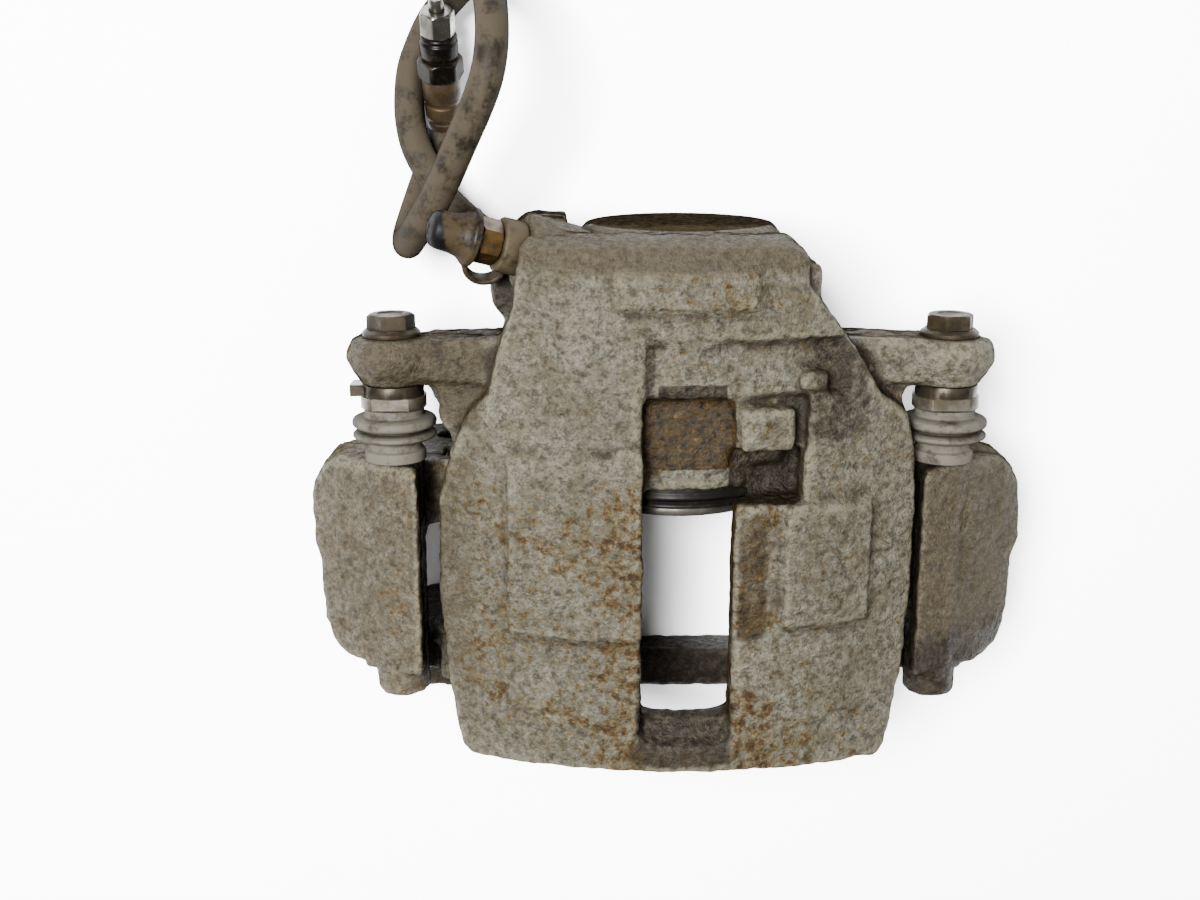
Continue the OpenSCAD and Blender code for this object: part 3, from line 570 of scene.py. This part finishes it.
# ---------------------------------------------------------------- castings
def smoothed(values, pairs, weight, rounds, factor=0.5):
    """Moves each vertex's values towards the mean of its neighbours' values."""
    a, b = pairs.T
    n = len(values)
    degree = np.bincount(a, minlength=n) + np.bincount(b, minlength=n)
    values = values.copy()
    for _ in range(rounds):
        total = np.stack([np.bincount(a, v[b], n) + np.bincount(b, v[a], n) for v in values.T], axis=1)
        values += factor * weight[:, None] * (total / degree[:, None] - values)
    return values


def waves(p, length_mm, count, seed):
    """Smooth random height over points in mm, about 1 high, with bumps of that length."""
    rng = np.random.default_rng(seed)
    ways = rng.normal(size=(count, 3))
    per_mm = (2 * math.pi / length_mm) * rng.uniform(0.7, 1.4, (count, 1))
    ways *= per_mm / np.linalg.norm(ways, axis=1, keepdims=True)
    return np.sin(p @ ways.T + rng.uniform(0, 2 * math.pi, count)).sum(1) * math.sqrt(2 / count)


def ramp(value, low, high):
    t = np.clip((value - low) / (high - low), 0, 1)
    return t * t * (3 - 2 * t)


def patch(p, x0, x1, y0, y1, soft=3.0, z0=-99, z1=99):
    """1 inside a box in mm, falling to 0 over soft mm outside it."""
    out = np.ones(len(p))
    for axis, low, high in ((0, x0, x1), (1, y0, y1), (2, z0, z1)):
        out *= ramp(p[:, axis], low - soft, low) * (1 - ramp(p[:, axis], high, high + soft))
    return out


def widen_pin_bores(p):
    """Moves the walls of the guide pins' bores out, because smoothing rounds them in over the pins."""
    bore_r = PIN_R + 0.3
    for side in (-1, 1):
        d = from_axis(p, side * PIN_X, PIN_Z)
        tight = (d > 2) & (d < bore_r) & (p[:, 1] > -69) & (p[:, 1] < 8)
        grow = np.where(tight, bore_r / np.maximum(d, 0.1), 1)
        p[:, 0] = side * PIN_X + (p[:, 0] - side * PIN_X) * grow
        p[:, 2] = PIN_Z + (p[:, 2] - PIN_Z) * grow


VOXEL_MM = 1.05


def casting(node, name, rounds, machined, paint, relief, material):
    """Cast skin over a copy of a CAD node: even mesh, rounded edges, uneven surface, and painted wear and
    painted shade.
    """
    source = bpy.data.objects.new("source", NODES[node].data.copy())
    link(source)
    skin = source.modifiers.new("skin", "REMESH")
    skin.mode = "VOXEL"
    skin.voxel_size = VOXEL_MM * MM
    mesh = bpy.data.meshes.new_from_object(source.evaluated_get(bpy.context.evaluated_depsgraph_get()))
    bpy.data.objects.remove(source)
    mesh.name = name
    n = len(mesh.vertices)
    co = np.empty(n * 3)
    mesh.vertices.foreach_get("co", co)
    p = co.reshape(-1, 3) / MM
    pairs = np.empty(len(mesh.edges) * 2, np.int32)
    mesh.edges.foreach_get("vertices", pairs)
    pairs = pairs.reshape(-1, 2)
    soft = 1 - machined(p)
    soft = smoothed(soft[:, None], pairs, np.ones(n), 2)[:, 0] * (soft > 0.01)
    p = smoothed(p, pairs, np.maximum(soft, 0.12), rounds)

    def normals():
        mesh.vertices.foreach_set("co", (p * MM).ravel())
        mesh.update()
        out = np.empty(n * 3, np.float32)
        mesh.vertex_normals.foreach_get("vector", out)
        return out.reshape(-1, 3)

    if node == "carrier":
        widen_pin_bores(p)

    up = normals()
    lift = ((smoothed(p, pairs, np.ones(n), 24) - p) * up).sum(1)
    lift = smoothed(lift[:, None], pairs, np.ones(n), 2)[:, 0]
    values = {"edge": np.clip(-lift / 0.9, 0, 1), "hollow_shade_and_dirt": np.clip(lift / 1.1, 0, 1), **paint(p, up)}
    uneven = 0.12 * waves(p, 11, 40, 1) + 0.10 * waves(p, 4.2, 60, 2) - 0.1 + relief(p, up)
    p = p + up * (soft * uneven)[:, None]
    normals()
    for key, value in values.items():
        data = mesh.attributes.new(key, "FLOAT", "POINT").data
        data.foreach_set("value", np.clip(value, 0, 1).astype(np.float32))
    mesh.materials.clear()
    mesh.materials.append(material)
    mesh.shade_smooth()
    piece = bpy.data.objects.new(name, mesh)
    link(piece)
    print(name, n, "vertices")
    return piece


def from_axis(p, x, z):
    return np.hypot(p[:, 0] - x, p[:, 2] - z)


def housing_machined(p):
    bore = (from_axis(p, PISTON_X, PISTON_Z) < PISTON_R + 0.6) & (p[:, 1] > -3)
    out = bore.astype(float)
    for side in (-1, 1):
        d = from_axis(p, side * PIN_X, PIN_Z)
        out[(d < 9.6) & (p[:, 1] > EAR_Y - 1)] = 1
        out[(d < 15) & (np.abs(p[:, 1] - EAR_Y) < 1)] = 0.7
    return out


def housing_paint(p, up):
    """Where the housing is rusty, dusty, oily or crusted with brown grease, and where shade is painted on it
    as dust and oil.
    """
    broad = 0.5 + 0.5 * waves(p, 34, 30, 5)
    x, y, z = p.T
    # Faces turned to the side; below they get painted shade as dust and oil
    side = 1 - ramp(up[:, 2], 0.1, 0.55)
    rust = 0.25 + 0.4 * patch(p, -64, -6, -70, 6, 10) + 0.45 * patch(p, -20, -8, -90, 6, 2) * (1 - side)
    rust += 0.4 * patch(p, 16, 30, -90, 8, 5) + 0.3 * patch(p, -40, 60, -92, -66, 5)
    rust += 0.25 * patch(p, -20, 30, 52, 66, 4)
    rust *= 0.4 + 0.8 * broad
    rust -= 0.35 * patch(p, -60, -10, 8, 50, 8)
    # The dust band on the cylinder's back face and the dust on faces turned to the side are painted shade
    dust = 0.9 * ramp(y, 61, 69) + 0.6 * ramp(up[:, 1], 0.5, 0.9) * ramp(y, 60, 66) + 0.6 * side
    dust += 0.95 * patch(p, -110, -60, 20, 50, 6) + 0.25 * patch(p, 56, 90, -60, 10, 8)
    dust += 0.55 * patch(p, -90, -62, -60, 6, 5)
    oil = 0.62 * patch(p, 43, 55, 18, 44, 10) + 1.3 * patch(p, -4, 15, 28.5, 32, 1.2)
    oil += patch(p, 18, 38, -5, 11.5, 1.5, 40, 68.5)
    oil += 0.95 * patch(p, -7, 16, -86, -70, 7, 30, 76) + 0.42 * patch(p, -110, -64, 22, 46, 6)
    # Painted shade as oil: low on faces turned to the side, on the back face, and under faces that look down
    oil += 0.9 * patch(p, -62, -42, 40, 66, 4, -20, 50) + 0.55 * side * (1 - ramp(z, 30, 50))
    oil += 0.42 * ramp(up[:, 1], 0.6, 0.95) * ramp(y, 66, 72) + 0.9 * ramp(-up[:, 2], 0.0, 0.5)
    oil += 0.6 * patch(p, -8, -6, 8, 48, 1.5)
    amber = patch(p, -8.6, 18.2, 6, 27.0, 1.2, 50, 67.8) + 0.62 * patch(p, 21, 28, -46, -8, 3)
    amber += 0.3 * patch(p, 22, 34, 10, 27, 2)
    amber += 0.55 * patch(p, -9.5, 19, -72, 6, 1.0, 50, 72) * side + 0.4 * patch(p, -14, 22, -91, -84, 3)
    return {"rust": rust, "dust": dust, "oil": oil, "amber": amber}


def bars(p, spots):
    """Share of full height on raised bars, each given as its centre in X and Y and its two sides."""
    out = np.zeros(len(p))
    for x, y, wide, long in spots:
        out = np.maximum(out, patch(p, x - wide / 2, x + wide / 2, y - long / 2, y + long / 2, 0.8))
    return out


def housing_relief(p, up):
    """Plain marks cast on the housing: a ring on the field, and rows of bars."""
    ring = np.exp(-(((np.hypot(p[:, 0] - 9.5, p[:, 1] - 41) - 3.4) / 0.7) ** 2))
    plate = [(-33, y, 7, 1.5) for y in (-42, -37, -32)] + [(-46, y, 7, 1.5) for y in (-42, -32)]
    pad = [(51 - 3 * (k % 2), -9 - 5.5 * k, 7, 1.6) for k in range(6)]
    flank = [(-60, y, 4, 1.6) for y in (-8, -15, -30, -37, -44)]
    flank += [(66, y, 3.5, 1.6) for y in (-20, -26, -32, -44)]
    for x, y, radius in ((-49, -82, 7.5), (54, -80, 6)):
        d = np.hypot(p[:, 0] - x, p[:, 1] - y)
        ring -= 1.3 * np.exp(-(((d - radius) / 1.1) ** 2)) * ramp(p[:, 1], y - 1, y + 2)
    return ramp(up[:, 2], 0.2, 0.6) * (0.9 * ring + 0.9 * bars(p, plate + pad + flank))


def carrier_machined(p):
    out = np.zeros(len(p))
    for side in (-1, 1):
        out[(from_axis(p, side * PIN_X, PIN_Z) < 9.4) & (p[:, 1] > 1.6)] = 1
        out[from_axis(p, side * PIN_X, PIN_Z) < 5.4] = 1
        out[from_axis(p, side * LUG_X, 0) < 7.0] = 1
    out[(np.abs(p[:, 1]) < 0.6) & (p[:, 2] < 20)] = 0.8
    slot = (np.abs(np.abs(p[:, 0]) - 70) < 3.6) & (p[:, 2] > 15) & (p[:, 2] < 30)
    out[slot] = 0.85
    return out


def carrier_paint(p, up):
    """Where the carrier is rusty, dusty or oily, and where shade is painted on it: its right tower, turned
    from the light, is painted much darker, and so are its inner walls and the faces that look down.
    """
    # The right tower gets more rust, dust and oil: painted shade, as it is turned from the light, on top of
    # dirt
    right = ramp(p[:, 0], 40, 80)
    broad = 0.5 + 0.5 * waves(p, 30, 30, 6)
    side = 1 - ramp(up[:, 2], 0.0, 0.5)
    # Painted shade on the towers' inner walls
    inner_wall_shade = side * (1 - ramp(np.abs(p[:, 0]), 80, 88))
    rust = (0.35 + 0.15 * right) * (0.5 + 0.7 * broad) + 0.4 * patch(p, -75, 75, -96.5, -92, 2)
    # Painted shade as dust on faces turned to the side
    dust = 0.05 + 0.6 * right + 0.3 * side
    # Oil also paints shade on the inner walls and on faces that look down; the tie bar and the low and
    # outboard parts are darker too
    oil = 0.25 * right + 0.95 * patch(p, -72, 72, -92, -76, 2, -20, 2) + 0.6 * (1 - ramp(p[:, 2], 2, 26))
    oil += (0.15 + 0.6 * right) * (1 - ramp(p[:, 1], -66, -44)) + 0.8 * inner_wall_shade + 0.5 * ramp(-up[:, 2], 0, 0.5)
    return {"rust": rust, "dust": dust, "oil": oil, "amber": np.zeros(len(p))}


def carrier_relief(p, up):
    """Two rows of short bars cast on the towers."""
    left = [(-95 + 1.5 * (k % 2), -14 - 5 * k, 4, 1.6) for k in range(6)]
    right = [(96, -12 - 6 * k, 3.6, 1.6) for k in range(5)]
    return 0.6 * ramp(up[:, 2], 0.2, 0.6) * bars(p, left + right)


housing = casting(
    "housing", "cast_housing_skin", 9, housing_machined, housing_paint, housing_relief, HOUSING_IRON
)
stand_in(housing, "caliper", "housing")
carrier = casting(
    "carrier", "cast_carrier_skin", 8, carrier_machined, carrier_paint, carrier_relief, CARRIER_IRON
)
stand_in(carrier, "carrier", "carrier")


# ---------------------------------------------------------------- CAD nodes that stay
def keep(node, material, bevel_mm=0.25):
    """Gives a CAD node its material, and eases its edges."""
    piece = NODES[node]
    piece.data.materials.clear()
    piece.data.materials.append(material)
    weld = piece.modifiers.new("weld", "WELD")
    weld.merge_threshold = 1e-6
    bevel = piece.modifiers.new("edges", "BEVEL")
    bevel.width = bevel_mm * MM
    bevel.segments = 2
    bevel.limit_method = "ANGLE"
    bevel.angle_limit = math.radians(35)
    bevel.harden_normals = True


keep("piston", PISTON_METAL)
keep("piston_seal", BLACK_RUBBER, 0.1)
keep("guide_bush", BLACK_RUBBER, 0.1)
for side in ("left", "right"):
    keep(f"guide_pin_{side}", PIN_STEEL, 0.3)
    keep(f"clip_inboard_{side}", STAINLESS, 0.1)
    keep(f"clip_outboard_{side}", STAINLESS, 0.1)
keep("banjo_bolt", FITTING_STEEL, 0.3)
keep("banjo_fitting", FITTING_STEEL, 0.3)
keep("sealing_washers", COPPER, 0.1)
keep("hose_ferrule", FERRULE_STEEL, 0.3)


# ---------------------------------------------------------------- floor and light
floor_mesh = bpy.data.meshes.new("floor")
FLOOR_Z, FLOOR_HALF = -0.0151, 4
floor_corners = [(x * FLOOR_HALF, y * FLOOR_HALF, FLOOR_Z) for x, y in ((-1, -1), (1, -1), (1, 1), (-1, 1))]
floor_mesh.from_pydata(floor_corners, [], [(0, 1, 2, 3)])
floor = bpy.data.objects.new("floor", floor_mesh)
link(floor)
floor_shade = Shade("floor_white", roughness=0.9, specular=0.1)
floor_shade.set("Base Color", (0.93, 0.93, 0.93))
floor_mesh.materials.append(floor_shade.material)

world = bpy.data.worlds.new("studio")
world.use_nodes = True
world.node_tree.nodes["Background"].inputs["Color"].default_value = (1, 1, 1, 1)
world.node_tree.nodes["Background"].inputs["Strength"].default_value = 0.6
bpy.context.scene.world = world


def softbox(name, place, size, watts):
    data = bpy.data.lights.new(name, "AREA")
    data.shape = "RECTANGLE"
    data.size, data.size_y = size
    data.energy = watts
    light = bpy.data.objects.new(name, data)
    light.location = place
    light.rotation_euler = (Vector((0, 0, 0.02)) - Vector(place)).to_track_quat("-Z", "Y").to_euler()
    link(light)


softbox("key", (-0.36, 0.3, 1.15), (0.45, 0.45), 205)
softbox("fill", (0.7, 0.1, 1.0), (0.8, 0.8), 14)
